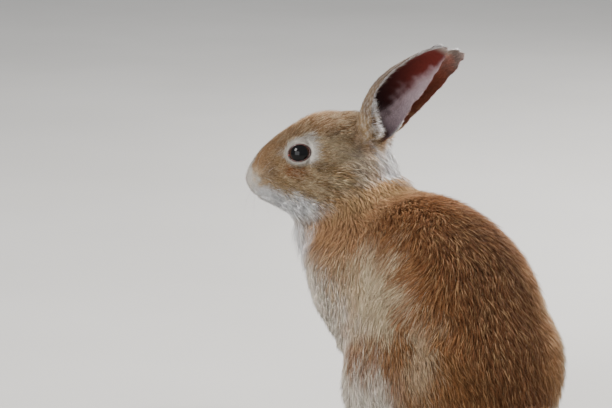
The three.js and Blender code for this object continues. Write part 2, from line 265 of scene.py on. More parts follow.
# ---- The skin ----
# One hide runs over trunk, neck, head, ears, tail and legs with no seam. The solids that share the
# body between them are grown together, smoothed, and drawn in by the depth of the coat.
#        depth of coat, length of hair, width of a tuft (mm), lift (degrees), tufts to a mm2
COAT = {
    "trunk": (4.0, 11.6, 0.44, 16, 2.25),
    "neck": (3.8, 10.8, 0.43, 19, 2.5),
    "head": (1.6, 5.4, 0.40, 20, 3.7),
    "ear": (0.0, 2.3, 0.32, 12, 3.2),
    "tail": (3.8, 12.0, 0.60, 30, 1.7),
    "haunch": (3.8, 11.2, 0.44, 15, 2.25),
    "foreleg": (2.8, 9.0, 0.50, 16, 1.7),
    "hindfoot": (1.5, 4.6, 0.44, 15, 2.4),
    "forepaw": (1.3, 3.6, 0.40, 15, 2.6),
}
PAIRED = ("ear", "haunch", "foreleg", "hindfoot", "forepaw")
FLESH = [(kind, name) for kind in COAT
         for name in ([f"{kind}_left", f"{kind}_right"] if kind in PAIRED else [kind])]
GROWN = 0.5  # mm that each solid is grown, to close the gaps between them
VOXEL = 1.7 * MM
FLOOR_GAP = 0.7 * MM  # that the hide keeps above the floor


def points_of(mesh):
    """A mesh's points as an array, (n, 3)."""
    flat = np.empty(len(mesh.vertices) * 3, np.float32)
    mesh.vertices.foreach_get("co", flat)
    return flat.reshape(-1, 3).astype(float)


def triangles_of(mesh):
    """A mesh's triangles as an array, (n, 3), of the numbers of their points."""
    mesh.calc_loop_triangles()
    flat = np.empty(len(mesh.loop_triangles) * 3, np.int32)
    mesh.loop_triangles.foreach_get("vertices", flat)
    return flat.reshape(-1, 3)


def point_normals(points, triangles):
    """Each point's normal: the cross products of its triangles' edges, summed and made length one."""
    a, b, c = (points[triangles[:, i]] for i in range(3))
    faces = np.cross(b - a, c - a)
    sums = [np.bincount(triangles.ravel(), np.repeat(faces[:, k], 3), len(points)) for k in range(3)]
    return unit(np.stack(sums, 1))


def merged_shell(name, grow):
    """A solid's points with doubles merged, each moved out along its normal by `grow`, and its triangles."""
    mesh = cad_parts[name].data
    points, back = np.unique(np.round(points_of(mesh), 7), axis=0, return_inverse=True)
    triangles = back.ravel()[triangles_of(mesh)]
    return points + grow * MM * point_normals(points, triangles), triangles


def joined(shells):
    """Several shells as one array of points and one of triangles, with the shell that each comes from."""
    starts = np.cumsum([0] + [len(p) for p, _ in shells[:-1]])
    owner = np.concatenate([np.full(len(t), i) for i, (_, t) in enumerate(shells)])
    return (np.concatenate([p for p, _ in shells]),
            np.concatenate([t + s for (_, t), s in zip(shells, starts)]), owner)


flesh_points, flesh_triangles, flesh_owner = joined([merged_shell(name, GROWN) for _, name in FLESH])
eye_shells = [merged_shell(name, GROWN) for name in ("eye_left", "eye_right")]
grown_points, grown_triangles, _ = joined([(flesh_points, flesh_triangles)] + eye_shells)
grown = new_piece("grown", grown_points, grown_triangles)
remesh = grown.modifiers.new("grow_together", "REMESH")
remesh.mode, remesh.voxel_size = "VOXEL", VOXEL
whole = bpy.data.meshes.new_from_object(grown.evaluated_get(bpy.context.evaluated_depsgraph_get()))
bpy.data.objects.remove(grown)

# The face and ears need a finer net than the body: twice halved round the eyes and on the nose,
# once on the ears.
net = bmesh.new()
net.from_mesh(whole)
bmesh.ops.triangulate(net, faces=net.faces[:])
for reach, snout_back, snout_half, ears_too in ((15.0, -18, 16, True), (11.5, -27, 9, False)):
    places = in_head(np.array([v.co for v in net.verts]))
    _, _, out, distance = eye_place(places)
    round_eyes = (distance < reach) & (out > 1)
    on_snout = (places[:, 1] < snout_back) & (np.abs(places[:, 0]) < snout_half)
    fine = (round_eyes | on_snout) & (places[:, 2] > -40)
    fine |= (places[:, 1] > 38) & (places[:, 2] > 12) & ears_too
    chosen = [e for e in net.edges if fine[e.verts[0].index] and fine[e.verts[1].index]]
    bmesh.ops.subdivide_edges(net, edges=chosen, cuts=1, use_grid_fill=True)
    bmesh.ops.triangulate(net, faces=net.faces[:])
    net.verts.index_update()
net.to_mesh(whole)
net.free()
points, triangles = points_of(whole), triangles_of(whole)
bpy.data.meshes.remove(whole)

edges = np.concatenate([triangles[:, [i, (i + 1) % 3]] for i in range(3)])
edges = np.unique(np.sort(edges, 1), axis=0)
start, end = np.concatenate([edges, edges[:, ::-1]]).T
neighbours = np.bincount(start, minlength=len(points))[:, None]


def averaged(values):
    """Each point's mean of its neighbours' values."""
    sums = [np.bincount(start, values[end, k], len(points)) for k in range(values.shape[1])]
    return np.stack(sums, 1) / neighbours


def softened(values, rounds):
    """Values that have moved halfway to their neighbours' mean, round after round."""
    for _ in range(rounds):
        values = (values + averaged(values)) / 2
    return values


for _ in range(28):  # smoothed without shrinking: in by a half, then out by a little more
    points = points + 0.5 * (averaged(points) - points)
    points = points - 0.52 * (averaged(points) - points)

# Each point knows how much it belongs to each kind of flesh, with soft borders between them.
kinds = list(COAT)
kind_of_shell = np.array([kinds.index(kind) for kind, _ in FLESH])
tree = BVHTree.FromPolygons(flesh_points.tolist(), flesh_triangles.tolist())
nearest = np.array([tree.find_nearest(p)[2] for p in points.tolist()])
shell = flesh_owner[nearest]
share = np.zeros((len(points), len(kinds)))
share[np.arange(len(points)), kind_of_shell[shell]] = 1
share = softened(share, 14)


def share_of(*names):
    """How much each point belongs to these kinds of flesh together, from 0 to 1."""
    return sum(share[:, kinds.index(name)] for name in names)


# Muscle and loose hide run into one another, so the body's creases are softened.
soft = share_of("trunk", "neck") + share_of("haunch") * step(points[:, 2] / MM, 28, 45)
soft = (soft + share_of("foreleg") * step(points[:, 2] / MM, 75, 95))[:, None]
for _ in range(100):
    points = points + 0.6 * soft * (averaged(points) - points)

head_places = in_head(points)
opening = almond(head_places)
depth, hair, tuft_width, lift, crowd = (share @ np.array([COAT[k][i] for k in kinds]) for i in range(5))
on_head = share_of("head")
muzzle = on_head * step(-head_places[:, 1], 2, 30)
cheek = on_head * step(head_places[:, 1], 8, 34) * step(-head_places[:, 2], -8, 14)
back_of_head = on_head * step(head_places[:, 1], 38, 56)
round_eye = on_head * (1 - step(opening, 1.1, 2.2))
shin = share_of("foreleg") * step(-points[:, 2] / MM, -72, -48)
chin = (on_head * step(-head_places[:, 2] - 0.16 * head_places[:, 1], 22, 30)
        * step(head_places[:, 1], -27, -14))
throat = share_of("neck") * step(-softened(point_normals(points, triangles), 6)[:, 1], 0.0, 0.6)
crown = on_head * step(head_places[:, 1], 12, 26) * step(head_places[:, 2], 9, 18)
growth = ((1 + 0.55 * crown) * (1 - 0.66 * muzzle) * (1 + 0.75 * cheek) * (1 + 0.9 * back_of_head)
          * (1 - 0.52 * round_eye) * (1 - 0.35 * shin))
depth, hair = depth * growth * (1 - 0.7 * chin), hair * growth * (1 + 0.9 * chin) * (1 + 0.3 * throat)
lift = lift + 16 * chin + 10 * throat + 5 * crown
tuft_width = tuft_width * (0.45 + 0.55 * growth.clip(0, 1.3))
crowd = crowd / (0.45 + 0.55 * growth.clip(0, 1.6)) ** 0.8

normals = softened(point_normals(points, triangles), 2)
points = points - ((depth + GROWN) * (1 - share_of("ear")))[:, None] * MM * unit(normals)
points[:, 2] = np.maximum(points[:, 2], FLOOR_GAP)

# ---- Eyelids, nostrils and mouth ----
# The lids are folds of the hide that lie on the ball of the eye. The nostrils are slits in a split
# upper lip, and the mouth runs back under the whisker pads.
LID_THICK, LID_SINK = 0.75, 1.8
places = in_head(points)
distance = eye_place(places)[3]
opening = almond(places)
lid = EYE_RADIUS - LID_SINK + (LID_SINK + LID_THICK) * step(opening, 0.90, 1.03)
hold = 1 - step(opening, 1.08, 1.5)
reach = distance + hold * (lid - distance)
reach = np.where(opening > 1.05, np.maximum(reach, EYE_RADIUS + LID_THICK), reach)
eye_middle = np.stack([np.sign(places[:, 0]) * EYE_SIDE, 0 * distance + EYE_SET_BACK, 0 * distance], 1)
places = places + (places - eye_middle) * (reach / distance - 1)[:, None]


def along_line(places, line):
    """Each place's distance, in the face's plane of |x| and z, from a line through the given places."""
    flat = np.stack([np.abs(places[:, 0]), places[:, 2]], 1)
    away = np.full(len(flat), np.inf)
    for a, b in zip(np.array(line[:-1], float), np.array(line[1:], float)):
        t = np.clip((flat - a) @ (b - a) / ((b - a) @ (b - a)), 0, 1)[:, None]
        away = np.minimum(away, np.linalg.norm(flat - a - t * (b - a), axis=1))
    return away


#                line of (|x|, z), half its width and its depth, in mm
SNOUT_LINES = {
    "nostril": ([(1.3, -19.2), (3.4, -17.0), (5.0, -13.8)], 0.75, 1.5),
    "lip_split": ([(0.0, -19.5), (0.0, -27.0)], 0.55, 0.9),
    "mouth": ([(0.0, -27.0), (4.0, -28.2), (8.0, -29.2), (11.5, -29.0)], 0.6, 0.9),
}
in_front = step(-places[:, 1], 14, 19) * on_head
nose_line = {}
head_normals = point_normals(points, triangles) @ HEAD_AXES.T
for name, (line, half_width, deep) in SNOUT_LINES.items():
    nose_line[name] = np.exp(-(along_line(places, line) / half_width) ** 2) * in_front
    places = places - head_normals * (deep * nose_line[name])[:, None]
points = from_head(places)

# ---- Ears ----
# Each ear is a thin trumpet of gristle: a strip that runs round part of a tube, nearly closed at
# the base. A place on it is how far it lies towards the tip, and how far round.
EARS = {
    1: ([[13, 40, 4], [15, 49, 22], [18, 61, 37], [21, 76, 50], [25, 91, 67]],
        [0.45, 0.89, 0], [0.8, 0.6, -0.2]),
    -1: ([[-13, 38, 4], [-16, 48, 20], [-19, 64, 34], [-21, 80, 45], [-23, 95, 57]],
         [-0.45, 0.89, 0], [-0.8, 0.6, -0.2]),
}
EAR_RADIUS = [7, 10.5, 13.5, 15.5, 15.5, 14, 12, 9]  # mm, from base to tip
EAR_CURL = [155, 140, 118, 100, 86, 74, 64, 56]  # half the degrees that the strip runs round
EAR_TIP, EAR_TIP_POWER = 0.3, 2.2  # the share of the length over which the tip rounds off, and how
EAR_THINNED = 0.42  # the share of the wall's thickness that is kept
EAR_CLOSED = 0.20  # the share of the turn by which the rims draw together


def laid_flat(vectors, normals):
    """Each vector less its part along the normal, made length one."""
    return unit(vectors - (vectors * normals).sum(1, keepdims=True) * normals)


def ear_place(places):
    """Five things for each place, 0 away from the ears: towards the tip from 0 to 1, round from the
    back (0) to the front rim (1) or the rear rim (-1), mm out from the middle of the wall, the unit
    way to the tip, and the unit way out from the ear's own axis."""
    toward, round_, out = np.zeros((3, len(places)))
    way, outward = np.zeros((2, len(places), 3))
    for hand, (path, base_opens, tip_opens) in EARS.items():
        mine = np.flatnonzero((np.sign(places[:, 0]) == hand) & (places[:, 1] > 20))
        t = np.linspace(-0.15, 1.1, 100)
        curve = np.polyfit(np.linspace(0, 1, len(path)), np.array(path, float), len(path) - 1)
        line = sum(powers * t[:, None] ** (len(path) - 1 - i) for i, powers in enumerate(curve))
        speed = np.linalg.norm(np.gradient(line, t, axis=0), axis=1)
        along = unit(np.gradient(line, axis=0))
        opens = np.array(base_opens) + np.clip(t, 0, 1)[:, None] * (np.array(tip_opens) - base_opens)
        opens = laid_flat(opens, along)
        nearest = np.linalg.norm(places[mine, None] - line[None], axis=2).argmin(1)
        away = places[mine] - line[nearest]
        past = (away * along[nearest]).sum(1)
        away = away - past[:, None] * along[nearest]
        toward[mine] = t[nearest] + past / speed[nearest]
        s = np.clip(toward[mine], 0, 1)
        narrow = (1 - np.clip(1 - (1 - s) / EAR_TIP, 0, 1) ** EAR_TIP_POWER) ** (1 / EAR_TIP_POWER)
        radius = np.interp(s, np.linspace(0, 1, 8), EAR_RADIUS)
        away = away - (radius * (1 - narrow))[:, None] * opens[nearest]
        turn = np.arctan2((away * np.cross(along, opens)[nearest]).sum(1), -(away * opens[nearest]).sum(1))
        curl = np.radians(np.interp(s, np.linspace(0, 1, 8), EAR_CURL)) * np.maximum(narrow, 0.25)
        round_[mine] = -hand * turn / curl
        out[mine] = np.linalg.norm(away, axis=1) - radius
        way[mine], outward[mine] = along[nearest], unit(away)
    return toward, round_, out, way, outward


# The wall is thinned towards its middle, and the rims draw together over the base.
tipward, round_ = ear_place(in_head(points))[:2]
rim = (share_of("ear") * step(np.abs(round_), 0.6, 0.85) * (1 - step(tipward, 0.78, 0.95)))[:, None]
for _ in range(50):
    points = points + 0.5 * rim * (averaged(points) - points)
places = in_head(points)
tipward, round_, out, way, outward = ear_place(places)
hold = share_of("ear") * step(tipward, 0.02, 0.2) * (1 - step(tipward, 0.9, 1.0))
thin = (EAR_THINNED - 1) * out * hold
reach = np.where(hold > 0, out + thin + np.interp(tipward, np.linspace(0, 1, 8), EAR_RADIUS), 0)
close = np.sign(places[:, 0]) * round_ * np.radians(130) * EAR_CLOSED * (1 - step(tipward, 0.1, 0.45)) * hold
turned = np.cos(close)[:, None] * outward - np.sin(close)[:, None] * np.cross(outward, way)
places = places + thin[:, None] * outward + reach[:, None] * (turned - outward)
points = from_head(places)
points[:, 2] = np.maximum(points[:, 2], FLOOR_GAP)
normals = unit(softened(point_normals(points, triangles), 1))
tipward, round_, out, ear_way, outward = ear_place(places)
inside = softened(step(-((normals @ HEAD_AXES.T) * outward).sum(1), -0.15, 0.3)[:, None], 2)[:, 0]
ear = (tipward, round_, inside)

# ---- Markings ----
# A wild-coloured coat: rufous over the back with a dark line along it, cream where the flank fur
# parts, a tan face with a pale ring round the eye, and a white chin, throat, breast and belly.
# Some patches are painted light: rim light along the right flank and the nape, light glowing through the ears
# and shade in their hollows.
COLOURS = {
    "rufous": (146, 96, 58), "shoulder": (188, 144, 104), "dorsal": (84, 52, 28), "cream": (226, 206, 172),
    "pale": (242, 231, 214), "white": (244, 243, 243), "haunch": (142, 98, 58), "tan": (180, 149, 106),
    "bridge": (144, 108, 74), "cheek": (160, 98, 54), "pad": (200, 172, 138), "ring": (216, 210, 200),
    "smudge": (104, 82, 64), "foot": (196, 170, 134), "ear_band": (120, 99, 82), "ear_tip": (66, 50, 42),
    "ear_back": (106, 50, 30), "ear_hollow_shade": (40, 6, 8), "ear_skin_and_glow": (128, 50, 44), "ear_pale": (226, 200, 206),
    "golden": (216, 174, 126), "fringe": (246, 243, 242), "pink": (176, 122, 118),
}
LINEAR = {name: srgb(*colour) for name, colour in COLOURS.items()}


def ripple(places, wavelength, seed, waves=9):
    """Smooth noise from about -1 to 1: a sum of plane waves whose directions and phases are drawn at
    random, and its slope."""
    draw = np.random.default_rng(seed)
    ways = unit(draw.normal(size=(waves, 3))) * (2 * np.pi / wavelength) * draw.uniform(0.6, 1.6, (waves, 1))
    phase = places @ ways.T + draw.uniform(0, 2 * np.pi, waves)
    size = 1.4 / np.sqrt(waves)
    return np.sin(phase).sum(1) * size, (np.cos(phase) @ ways) * size


def markings_and_painted_light(body, face, share, normals, ear):
    """The coat's colour, by places in the frame's and the face's mm, shares of the kinds of flesh,
    normals, and places on the ears: soft patches laid one over another, with ragged edges. Most are
    the coat's own marks; some are painted light: rim light on the right flank and the nape, a glow
    through the ears and shade in their hollows."""
    ragged = 0.6 * ripple(body, 17, 1)[0] + 0.4 * ripple(body, 6, 2)[0]
    of = dict(zip(kinds, share.T))
    x, y, z = face.T
    colour = np.tile(LINEAR["rufous"], (len(body), 1))

    def lay(name, mask):
        """This colour over the ones before it, as strong as the mask."""
        nonlocal colour
        colour = colour + np.clip(mask, 0, 1)[:, None] * (LINEAR[name] - colour)

    def patch(places, middle, reach, rough=0.2):
        """A soft egg-shaped spot: its middle, and its half widths along the three axes."""
        r = np.linalg.norm((places - middle) / reach, axis=1) + rough * ragged
        return 1 - step(r, 0.5, 1.25)

    flank = np.abs(body[:, 0] - SPINE_X)
    sided = np.stack([flank, body[:, 1], body[:, 2]], 1)
    torso = of["trunk"] + of["neck"] + of["foreleg"]
    lay("shoulder", 0.9 * torso * step(-body[:, 1] + 10 * ragged, -5, 30))
    lay("dorsal", 0.7 * step(normals[:, 2] + 0.25 * ragged, 0.2, 0.8) * step(body[:, 1], -5, 45)
        * (1 - step(flank + 6 * ragged, 14, 32)))
    lay("dorsal", 0.6 * step(body[:, 1] + 8 * ragged, 20, 70) * (1 - step(flank + 6 * ragged, 20, 44)))
    # Painted rim light: the right flank, the far side, is laid lighter, in shoulder tan and then cream, as if
    # lit along its edge.
    rim_lit_right_flank = step(SPINE_X - body[:, 0] + 4 * ragged, 20, 38) * step(body[:, 1], -10, 30)
    lay("shoulder", 0.9 * rim_lit_right_flank)
    lay("cream", 0.8 * rim_lit_right_flank * step(SPINE_X - body[:, 0] + 3 * ragged, 30, 44))
    lay("haunch", 0.7 * of["haunch"] * step(ragged, -0.8, 0.8))
    lay("cream", 0.95 * patch(sided, [46, 7, 106], [26, 38, 28], 0.3))
    lay("cream", 0.5 * patch(sided, [46, 60, 78], [18, 12, 28], 0.4))
    low = -body[:, 2] + 8 * ragged
    lay("pale", 0.95 * step(low, -76, -50) * of["haunch"] * (1 - step(body[:, 1], 26, 58)))
    lay("pale", 0.95 * step(low, -94, -70) * of["trunk"] * (1 - step(body[:, 1], 16, 48)))
    lay("pale", 0.9 * step(low, -46, -26) * (of["trunk"] + of["haunch"]))
    lay("pale", 0.95 * of["foreleg"] * step(low, -112, -80))
    lay("pale", 0.9 * torso * step(-body[:, 1] + 6 * ragged, 26, 52) * step(-body[:, 2], -128, -100))
    lay("white", step(-normals[:, 2] + 0.15 * ragged, 0.3, 0.75) * (of["trunk"] + of["haunch"])
        * step(-body[:, 2], -95, -60))
    lay("tan", 0.7 * of["neck"] * step(body[:, 2] + 5 * ragged, 128, 150))
    lay("white", 0.95 * (of["neck"] + of["trunk"] * step(body[:, 2], 118, 132))
        * step(-normals[:, 1] - 0.4 * normals[:, 2] + 0.15 * ragged, -0.1, 0.5))
    lay("foot", 0.85 * (of["hindfoot"] + of["forepaw"] + of["foreleg"] * step(-body[:, 2], -50, -22)))
    lay("white", 0.8 * (of["hindfoot"] + of["forepaw"]) * step(-normals[:, 2], 0.1, 0.6))
    lay("white", of["tail"] * step(-normals[:, 2] + normals[:, 1] * 0.4, -0.1, 0.5))
    lay("haunch", of["tail"] * step(normals[:, 2] - normals[:, 1] * 0.4, 0.2, 0.8))

    head = of["head"]
    mirrored = np.stack([np.abs(x), y, z], 1)
    streaks = ripple(face * [1.0, 0.34, 0.85], 5.2, 12)[0] + 0.5 * ripple(face * [1.0, 0.3, 0.8], 2.6, 13)[0]
    lay("tan", 0.9 * head)
    lay("bridge", 0.85 * head * (1 - step(np.abs(x) + 3 * ragged, 11, 19)) * step(z, -22, -12)
        * step(-y, -18, 8))
    lay("bridge", 0.95 * head * step(z + 2.5 * ragged, 8, 14) * step(ragged, -1.0, 0.2))
    lay("haunch", 0.55 * head * step(z + 2 * ragged, 8, 15) * (1 - step(y + 4 * ragged, 12, 24)))
    lay("pad", 0.8 * patch(mirrored, [12, -27, -18], [8, 8, 7], 0.3) * head)
    lay("cheek", 0.9 * patch(mirrored, [22, -4, -11.5], [9, 10, 5.5]) * head)
    lay("smudge", 0.5 * patch(mirrored, [25, 13, -6], [6, 5, 4]) * head)
    lay("smudge", 0.4 * patch(mirrored, [17, -19, -13], [6, 4, 4]) * head)
    lay("ring", 0.5 * patch(mirrored, [22, 38, -1], [10, 10, 13], 0.3) * (head + of["neck"]))
    lay("cream", 0.55 * patch(mirrored, [11, 29, 21], [12, 11, 8], 0.4) * head * step(streaks, -0.7, 0.5))
    lay("cream", 0.6 * patch(mirrored, [24, 26, 3], [9, 13, 9], 0.4) * head * step(streaks, -0.8, 0.6))
    lay("cream", 0.6 * patch(mirrored, [24, 14, -17], [9, 22, 7], 0.4) * head * step(streaks, -0.6, 0.6))
    lay("smudge", 0.4 * patch(mirrored, [19, 17, 13], [3, 3, 9], 0.2) * head)
    lay("smudge", 0.55 * head * step(ripple(face, 2.3, 14)[0], 0.5, 0.9)
        * patch(mirrored, [13, -24, -17], [7, 8, 7]))
    lay("smudge", 0.28 * head * step(-streaks, 0.1, 1.0) * step(y, -24, -8))
    lay("cream", 0.34 * head * step(streaks, 0.2, 1.0) * step(y, -24, -8))
    lay("white", 0.95 * head * step(-z + 2.0 * ragged - 0.16 * y, 23, 29))
    lay("ring", 0.95 * head * step(-y + 3.2 * ragged - 0.3 * np.abs(z + 19) + 0.1 * np.abs(x), 25.5, 31))
    lay("ring", 0.92 * head * (1 - step(almond(face) + 0.22 * ragged + 0.35 * step(-z, 2, 5)
                                      + 0.3 * step(y, 5, 12), 1.85, 2.3)))
    lay("pink", 0.9 * patch(mirrored, [3.5, -36, -19], [3.4, 3.6, 1.9], 0.1) * head)

    # A white patch on the nape, only where the hide faces back and to the right: partly the nape's own pale
    # patch, partly painted rim light.
    behind = normals @ np.array([-0.75, 0.65, 0.1]) + 0.1 * ragged
    lay("white", patch(body, [-8, -44, 172], [30, 30, 34], 0.15) * (1 - of["ear"]) * step(behind, 0.62, 0.9))

    tipward, round_, inside = ear
    on_ear = of["ear"]
    inner = inside * (1 - step(np.abs(round_), 0.94, 1.0))
    lay("ear_back", on_ear)
    lay("ear_band", on_ear * step(round_ + 0.08 * ragged, 0.0, 0.6) * (1 - inner))
    lay("tan", 0.8 * on_ear * (1 - inner) * (1 - step(tipward + 0.1 * ragged, 0.05, 0.45)))
    grain = ripple(face, 2.4, 21)[0]
    lay("smudge", 0.5 * on_ear * (1 - inner) * step(round_, 0.0, 0.5) * step(grain, 0.1, 1.1))
    lay("ring", 0.42 * on_ear * (1 - inner) * step(round_, 0.0, 0.5) * step(-grain, 0.1, 1.1))
    lay("ear_tip", 0.9 * on_ear * step(tipward + 0.06 * ragged, 0.72, 0.94) * (1 - inner))
    # The inside of the ear: its own pink skin, reddened as a painted glow of light shining through the ear.
    lay("ear_skin_and_glow", on_ear * inner)
    # Painted shade: the hollow inside the ear, near its base, is darkened where shade falls in it.
    lay("ear_hollow_shade", on_ear * inner * (1 - step(tipward + 0.3 * np.abs(round_ - 0.2), 0.35, 0.95)))
    lay("ear_pale", on_ear * inner * step(-round_ + 0.08 * ragged - 0.2 * step(tipward, 0.5, 0.9), 0.25, 0.65)
        * step(tipward, 0.05, 0.25) * (1 - 0.3 * step(tipward, 0.6, 0.9)))
    lay("ring", 0.7 * on_ear * inner * step(tipward, 0.9, 0.98))
    lay("fringe", 0.95 * on_ear * inside * step(round_ + 0.04 * ragged, 0.6, 0.76))
    thin_rim = 0.06 + 0.1 * step(tipward, 0.6, 0.95)
    lay("fringe", 0.75 * on_ear * step(np.abs(round_) + thin_rim, 0.98, 1.03)
        * (1 - step(tipward, 0.76, 0.9) * (1 - 0.8 * inside)))
    return colour


SPINE_X = np.mean([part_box("haunch_left")[1][0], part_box("haunch_right")[0][0]]) / MM
body_places, face_places = points / MM, in_head(points)
SHADED = 0.62  # painted shade: the hide under the fur is darkened, as the fur shades it
hide_colour = markings_and_painted_light(body_places, face_places, share, normals, ear) * SHADED
damp = np.clip(1.1 * nose_line["nostril"] + 0.3 * nose_line["lip_split"], 0, 1)[:, None]
hide_colour += (LINEAR["pink"] - hide_colour) * damp
lid_edge = (1 - step(almond(face_places), 1.02, 1.14)) * on_head
hide_colour += (srgb(44, 22, 20) - hide_colour) * lid_edge[:, None]


def paint(piece, name, colours):
    """A colour for each point, (n, 3) in linear light, as an attribute of the mesh."""
    layer = piece.data.color_attributes.new(name, "FLOAT_COLOR", "POINT")
    with_alpha = np.hstack([colours, np.ones((len(colours), 1))]).astype(np.float32)
    layer.data.foreach_set("color", with_alpha.ravel())


skin = new_piece("skin", points, triangles)
paint(skin, "hide", np.clip(hide_colour, 0, 1))
skin_finish, wire = finish("skin", {"Roughness": 0.65, "Specular IOR Level": 0.15})
mottled = wire.noise(900, detail=4).step(0.25, 0.8)
hide = wire.attribute("hide")
feed(skin_finish, Base_Color=(0.72 + 0.28 * mottled).times(hide),
     Normal=wire.bump(wire.noise(1500), 0.0003))
skin.data.materials.append(skin_finish)
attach(skin, "root")
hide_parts(*[name for _, name in FLESH])

# ---- Eyes ----
# Each eye is a glassy ball with a wide black pupil in a dark brown iris. A thin dark rim of wet skin
# runs round the opening, with a red fold in its front corner.
IRIS, PUPIL = 0.80, 0.56  # radii, as shares of the ball's
CORNEA_RISE = 0.045  # as a share of the ball's radius


def ball(name, middle, axis, radius):
    """A sphere of rings round the way it looks, raised by a low dome, the cornea, over the iris."""
    rings, around = 40, 64
    a, b = np.meshgrid(np.linspace(0, np.pi, rings + 1)[1:-1],
                       np.linspace(0, 2 * np.pi, around, endpoint=False), indexing="ij")
    side = unit(np.cross(axis, [0, 0, 1]))
    other = np.cross(side, axis)
    rise = radius * (1 + CORNEA_RISE * (1 - step(np.sin(a), 0.2, 0.95)) * (np.cos(a) > 0))
    shape = rise[..., None] * (np.cos(a)[..., None] * axis + np.sin(a)[..., None]
                               * (np.cos(b)[..., None] * side + np.sin(b)[..., None] * other))
    poles = np.array([axis * radius * (1 + CORNEA_RISE), -axis * radius])
    places = np.vstack([shape.reshape(-1, 3), poles]) + middle
    i, j = np.meshgrid(np.arange(rings - 2), np.arange(around), indexing="ij")
    this, beside = i * around + j, i * around + (j + 1) % around
    quads = np.stack([this, this + around, beside + around, beside], -1).reshape(-1, 4)
    top, last, turn = (rings - 1) * around, (rings - 2) * around, np.arange(around)
    caps = np.vstack([np.stack([0 * turn + top, turn, (turn + 1) % around], 1),
                      np.stack([0 * turn + top + 1, last + (turn + 1) % around, last + turn], 1)])
    faces = np.vstack([quads[:, [0, 1, 2]], quads[:, [0, 2, 3]], caps])
    piece = new_piece(name, places, faces)
    outward = np.append(np.repeat(np.sin(a[:, 0]), around), [0, 0])
    outward = np.where(np.append(np.repeat(np.cos(a[:, 0]), around), [1, -1]) > 0, outward, 2.0)
    layer = piece.data.attributes.new("from_axis", "FLOAT", "POINT")
    layer.data.foreach_set("value", outward.astype(np.float32))
    return piece


eye_finish, wire = finish("eyeball", {"Roughness": 0.06, "Specular IOR Level": 0.0, "Coat Weight": 0.4,
                                       "Coat Roughness": 0.02})
from_axis = wire.attribute("from_axis", out="Fac")
fibres = wire.noise(1400, detail=5).step(0.3, 0.75)
iris = fibres.between((0.022, 0.009, 0.005, 1), (0.05, 0.022, 0.011, 1))
clear = from_axis.step(PUPIL, PUPIL + 0.06).between((0.0015, 0.0012, 0.0012, 1), iris)
feed(eye_finish, Base_Color=from_axis.step(IRIS, IRIS + 0.08).between(clear, (0.014, 0.007, 0.006, 1)))

rim_finish, wire = finish("lid_rim", {"Roughness": 0.22, "Coat Weight": 0.4})
blotches = wire.noise(700).step(0.3, 0.75)
feed(rim_finish, Base_Color=blotches.between((0.020, 0.007, 0.006, 1), (0.075, 0.022, 0.016, 1)))
caruncle_finish, wire = finish("eye_corner", {"Roughness": 0.2, "Coat Weight": 0.5})
blotches = wire.noise(900).step(0.3, 0.75)
feed(caruncle_finish, Base_Color=blotches.between((0.20, 0.035, 0.025, 1), (0.36, 0.09, 0.06, 1)))


def tube(name, line, radii, around=8, closed=False):
    """Rings carried along a line of points: each ring stands square to the line, with its own radius."""
    line = np.asarray(line, float)
    along = unit(np.roll(line, -1, 0) - np.roll(line, 1, 0)) if closed else unit(np.gradient(line, axis=0))
    side = unit(np.cross(along, [0.12, 0.23, 0.96]))
    other = np.cross(along, side)
    turn = np.linspace(0, 2 * np.pi, around, endpoint=False)
    rings = (line[:, None] + np.broadcast_to(radii, len(line))[:, None, None]
             * (np.cos(turn)[None, :, None] * side[:, None] + np.sin(turn)[None, :, None] * other[:, None]))
    count = len(line)
    i, j = np.meshgrid(np.arange(count if closed else count - 1), np.arange(around), indexing="ij")
    this, onward, beside = i * around, (i + 1) % count * around, (j + 1) % around
    faces = np.stack([this + j, this + beside, onward + beside, onward + j], -1).reshape(-1, 4)
    faces = np.vstack([faces[:, [0, 2, 1]], faces[:, [0, 3, 2]]])
    places = rings.reshape(-1, 3)
    if not closed:
        spin = np.arange(around)
        ends = np.vstack([np.stack([0 * spin + len(places), (spin + 1) % around, spin], 1),
                          np.stack([0 * spin + len(places) + 1, len(places) - around + spin,
                                    len(places) - around + (spin + 1) % around], 1)])
        places, faces = np.vstack([places, line[:1], line[-1:]]), np.vstack([faces, ends])
    return new_piece(name, places, faces[:, ::-1])


for name, hand in (("left", 1), ("right", -1)):
    mirror = np.array([hand, 1, 1])
    middle = from_head(np.array([hand * EYE_SIDE, EYE_SET_BACK, 0]))
    axis = (EYE_AXIS * mirror) @ HEAD_AXES
    eyeball = ball(f"eyeball_{name}", middle, axis, EYE_RADIUS * MM)
    eyeball.data.materials.append(eye_finish)
    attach(eyeball, "root")
    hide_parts(f"eye_{name}")

    turn = np.linspace(0, 2 * np.pi, 72, endpoint=False)
    c, s = np.cos(turn), np.sin(turn)
    u = np.sign(c) * np.abs(c) ** (2 / ALONG_POWER) * np.where(c > 0, ALMOND["fore"], ALMOND["aft"])
    v = np.sign(s) * np.abs(s) ** (2 / UP_POWER) * np.where(s > 0, ALMOND["above"], ALMOND["below"])
    ct, st = np.cos(ALMOND["tilt"]), np.sin(ALMOND["tilt"])
    fore, up = u * ct - v * st, u * st + v * ct
    arc = np.hypot(fore, up)
    spread = np.sin(arc / EYE_RADIUS) / arc
    ring = (fore * spread)[:, None] * EYE_FORE + (up * spread)[:, None] * EYE_UP
    ring = (ring + np.cos(arc / EYE_RADIUS)[:, None] * EYE_AXIS) * (EYE_RADIUS + 0.35)
    ring = from_head((ring + [EYE_SIDE, EYE_SET_BACK, 0]) * mirror)
    lid_rim = tube(f"lid_rim_{name}", ring, 0.42 * MM, closed=True)
    lid_rim.data.materials.append(rim_finish)
    corner = np.linspace(-0.16, 0.16, 9)
    caruncle = tube(f"eye_corner_{name}", ring[0] + corner[:, None] * (ring[1] - ring[-1]) * 3,
                    0.75 * MM * np.sqrt(1 - (corner / 0.17) ** 2))
    caruncle.data.materials.append(caruncle_finish)
    for piece in (lid_rim, caruncle):
        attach(piece, "root")

